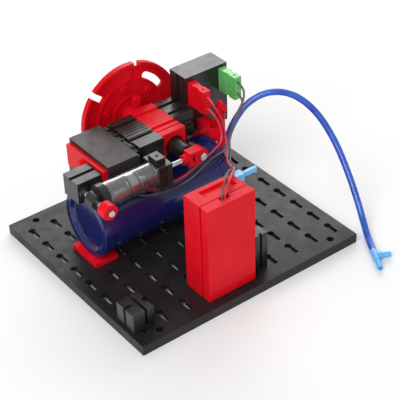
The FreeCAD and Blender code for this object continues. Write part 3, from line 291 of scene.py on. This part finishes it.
def apply_modifiers(piece):
    mesh = mesh_of(piece)
    piece.modifiers.clear()
    piece.data = mesh


def moulded_copy(node):
    """A copy of a CAD node with its flat faces made whole and its edges rounded."""
    mesh = frame["nodes"][node].data.copy()
    work = bmesh.new()
    work.from_mesh(mesh)
    bmesh.ops.remove_doubles(work, verts=work.verts, dist=SAME_POINT)
    bmesh.ops.dissolve_limit(work, angle_limit=FLAT, verts=work.verts, edges=work.edges,
                             delimit={"NORMAL"})
    work.to_mesh(mesh)
    work.free()
    piece = mesh_piece("look_" + node, mesh)
    rounding = piece.modifiers.new("rounding", "BEVEL")
    rounding.width = EDGE.get(node, USUAL_EDGE) * MM
    rounding.segments = 2
    rounding.limit_method = "ANGLE"
    rounding.angle_limit = ROUNDED
    apply_modifiers(piece)
    for face in piece.data.polygons:
        face.use_smooth = True
    smooth = piece.modifiers.new("smooth", "WEIGHTED_NORMAL")
    smooth.keep_sharp = True
    piece.data.set_sharp_from_angle(angle=SHARP)
    apply_modifiers(piece)
    return adopt(piece, NODE_BODY[node], NODE_SLOT[node], node)


def raised_detail(name, body, slot, blocks, edge=0.1):
    """Low moulded blocks with rounded edges, each from its low to its high corner, in
    millimetres."""
    shape = bmesh.new()
    for low, high in blocks:
        low, high = Vector(low) * MM, Vector(high) * MM
        place = Matrix.Translation((low + high) / 2) @ Matrix.Diagonal((*(high - low), 1))
        bmesh.ops.create_cube(shape, size=1, matrix=place)
    mesh = bpy.data.meshes.new(name)
    shape.to_mesh(mesh)
    shape.free()
    piece = mesh_piece(name, mesh)
    rounding = piece.modifiers.new("rounding", "BEVEL")
    rounding.width = edge * MM
    rounding.segments = 2
    apply_modifiers(piece)
    piece.data.set_sharp_from_angle(angle=math.radians(40))
    return adopt(piece, body, slot)


# A fine line's width, and how deep its foot sits in the face below it, in millimetres.
LINE_WIDTH = 0.4
LINE_FOOT = 0.1


def fine_lines(left, right, front, count, gap, top, height=0.25):
    """Count low lines along X, one gap apart, that stand on a flat top."""
    return [((left, front + gap * step, top - LINE_FOOT),
             (right, front + gap * step + LINE_WIDTH, top + height))
            for step in range(count)]


# The bars on the step between the motor's covers: their front edges, counted from the front
# cover's front, and their width, in millimetres.
BAR_FRONTS = (4, 13.4, 19.6, 27)
BAR_WIDTH = 1.2


def make_motor_detail():
    """The step between the motor's two covers, and the fine lines on the front cover and the
    gearbox."""
    rear_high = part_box("motor_rear_housing")[1] / MM
    front_low, front_high = (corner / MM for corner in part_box("motor_front_housing"))
    gear_low, gear_high = (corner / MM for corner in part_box("gearbox_housing"))
    top = front_high.z
    left, right = rear_high.x + 0.05, rear_high.x + 3.4
    step = [((left, front_low.y + 0.3, top - 3.4), (right, front_high.y - 0.3, top - 1.5))]
    for bar_front in BAR_FRONTS:
        y = front_low.y + bar_front
        step.append(((left, y, top - 1.6), (right, y + BAR_WIDTH, top - 0.7)))
    raised_detail("look_motor_step", "base", "black_plastic", step, edge=0.25)
    raised_detail("look_motor_lines", "base", "black_plastic",
                  fine_lines(left=front_low.x + 3.9, right=front_high.x - 0.4,
                             front=front_low.y + 11, count=5, gap=2.6, top=top))
    raised_detail("look_gearbox_lines", "base", "red_plastic",
                  fine_lines(left=gear_low.x + 0.5, right=gear_high.x - 0.5,
                             front=gear_low.y + 5, count=4, gap=2.4, top=gear_high.z,
                             height=0.12))


def squeeze_spring():
    """Gives the range spring's piece a mesh of its own."""
    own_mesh(look["range_spring"])


# ---------------------------------------------------------------- leads and hose

# Each route's points, in millimetres. They are the control points of a smooth line.
LEADS = {
    "lead_red_battery": [
        (31.9, 16.5, 76.3), (31.9, 10.6, 76.3), (32.9, 7.6, 71.2), (36.4, 8.3, 65.6),
        (39, 8.4, 58), (39.8, 7.4, 50.2), (36.6, 2.6, 46.2), (31.4, -4, 46),
        (26.4, -11, 47.6), (22, -19, 50.6), (18, -26.4, 55), (14, -32.6, 60.4),
        (9.4, -38.4, 65.6), (4.4, -44, 69.2), (-0.2, -48.4, 70.6), (-4.4, -51.8, 70.8),
        (-7.8, -54.2, 70), (-10, -55.8, 68.8), (-11.2, -56.6, 66.4), (-11.2, -56.6, 64)],
    "lead_grey_battery": [
        (54.3, 16.5, 69.8), (54.3, 10, 69.8), (51.4, 6, 65), (46.4, 5, 61.6),
        (42.2, 5.8, 56), (40.4, 4.6, 48.6), (36.2, -1, 44.6), (30.6, -8, 44.2),
        (25.4, -15, 45.6), (20.8, -22.4, 49), (16.6, -28.4, 54), (12, -33.8, 59.8),
        (7, -38.8, 65.4), (2, -43.4, 69.8), (-2.8, -47.6, 71.7), (-6.8, -51.2, 71.8),
        (-10, -54, 70.8), (-12.2, -55.8, 69), (-13.2, -56.6, 66.5), (-13.2, -56.6, 64)],
    "lead_red_motor": [
        (31.9, 17, 68.9), (31.9, 10.5, 68.9), (33.4, 6.4, 64), (35.4, 5.6, 57),
        (33.6, 3.2, 50.6), (27.4, 0.6, 50.4), (20.6, -0.6, 48.4), (12.6, -0.8, 45.4),
        (3.6, -2, 43.6), (-6, -2.4, 43), (-16, -2, 43.4), (-24.6, -0.4, 44.6),
        (-28.6, 3.2, 46.4), (-30, 6.5, 48.8), (-30, 6.5, 51.6)],
    "lead_grey_motor": [
        (54.3, 16, 77.2), (54.3, 8.4, 77.2), (50.8, 3.6, 72), (45.4, 3, 66.4),
        (40.8, 2.8, 59), (38.4, 1, 51.4), (32.4, -1.4, 47.6), (24.2, -2.4, 47.8),
        (15.4, -3.2, 45.2), (5.8, -4.6, 42), (-5, -4.8, 40.8), (-16, -4.2, 41.2),
        (-25.8, -2.6, 43), (-32.2, 1.8, 46), (-34, 6.5, 48.6), (-34, 6.5, 51.8)],
}
HOSE = [
    (39.5, 13.5, 32.83), (45.4, 13.5, 43.05), (51.6, 13.3, 53.8), (60, 11.6, 63),
    (71.4, 7, 68), (82.6, -1.8, 66.4), (90.4, -13.6, 57), (93.4, -26.6, 42.6),
    (92.4, -39.6, 28), (90, -51.4, 14.6), (86.2, -61.4, 5.4), (80.4, -71.6, 2.1),
    (74.9, -81.4, 2.1)]


def cord_piece(name, route, diameter):
    """A round mesh cord on one smooth line whose control points are the route's points, and
    that line."""
    curve = bpy.data.curves.new(name, "CURVE")
    curve.dimensions = "3D"
    spline = curve.splines.new("NURBS")
    spline.points.add(len(route) - 1)
    for point, place in zip(spline.points, route):
        point.co = (*(coordinate * MM for coordinate in place), 1)
    spline.order_u = 3
    spline.use_endpoint_u = True
    spline.resolution_u = 10
    guide = bpy.data.objects.new(name + "_guide", curve)
    bpy.context.scene.collection.objects.link(guide)
    line = [vertex.co.copy() for vertex in mesh_of(guide).vertices]
    curve.bevel_depth = diameter / 2
    curve.bevel_resolution = 5
    curve.use_fill_caps = True
    piece = mesh_piece(name, mesh_of(guide))
    bpy.data.objects.remove(guide)
    for face in piece.data.polygons:
        face.use_smooth = True
    piece.data.set_sharp_from_angle(angle=math.radians(60))
    return piece, line


def make_cords():
    for name, route in LEADS.items():
        lead, _ = cord_piece("look_" + name, route, 1.2 * MM)
        adopt(lead, "base", NODE_SLOT[name], name)
    hose, line = cord_piece("look_delivery_hose", HOSE, 4 * MM)
    adopt(hose, "base", "blue_hose", "delivery_hose")


# ---------------------------------------------------------------- stage

def make_floor():
    """A pale square floor under the object, 8 m wide."""
    reach = 4.0
    corners = [(-reach, -reach, 0), (reach, -reach, 0), (reach, reach, 0), (-reach, reach, 0)]
    mesh = bpy.data.meshes.new("floor")
    mesh.from_pydata(corners, [], [(0, 1, 2, 3)])
    floor = mesh_piece("floor", mesh)
    material, nodes, links, shader = new_material("floor_paint")
    drift = noise(nodes, links, scale=6, detail=3)
    links.new(ramp(nodes, links, drift, 0.3, 0.7, (0.83, 0.83, 0.83), (0.86, 0.86, 0.86)),
              shader.inputs["Base Color"])
    shader.inputs["Roughness"].default_value = 0.6
    mesh.materials.append(material)


def make_lamp(name, place, power, width, height):
    """A broad lamp that faces the object."""
    lamp = bpy.data.objects.new(name, bpy.data.lights.new(name, "AREA"))
    lamp.data.energy = power
    lamp.data.shape = "RECTANGLE"
    lamp.data.size = width
    lamp.data.size_y = height
    lamp.location = place
    lamp.rotation_euler = (-Vector(place)).to_track_quat("-Z", "Y").to_euler()
    bpy.context.scene.collection.objects.link(lamp)


def make_stage():
    """A pale floor, a soft sky and two broad lamps."""
    make_floor()
    world = bpy.data.worlds.new("sky")
    world.use_nodes = True
    sky = world.node_tree.nodes["Background"]
    sky.inputs["Color"].default_value = (1, 1, 1, 1)
    sky.inputs["Strength"].default_value = 0.52
    bpy.context.scene.world = world
    # The key stands over the front left; the sheet stands behind, where the top faces mirror it.
    make_lamp("key", place=(-0.88, -0.52, 1.00), power=15, width=1.0, height=1.0)
    make_lamp("sheet", place=(0.76, 0.88, 0.66), power=9, width=1.2, height=0.6)


# ---------------------------------------------------------------- build

make_camera()
materials = make_materials()
look = {}
for node in sorted(frame["nodes"]):
    if node not in LEADS and node != "delivery_hose":
        look[node] = moulded_copy(node)
squeeze_spring()
make_motor_detail()
make_cords()
make_stage()
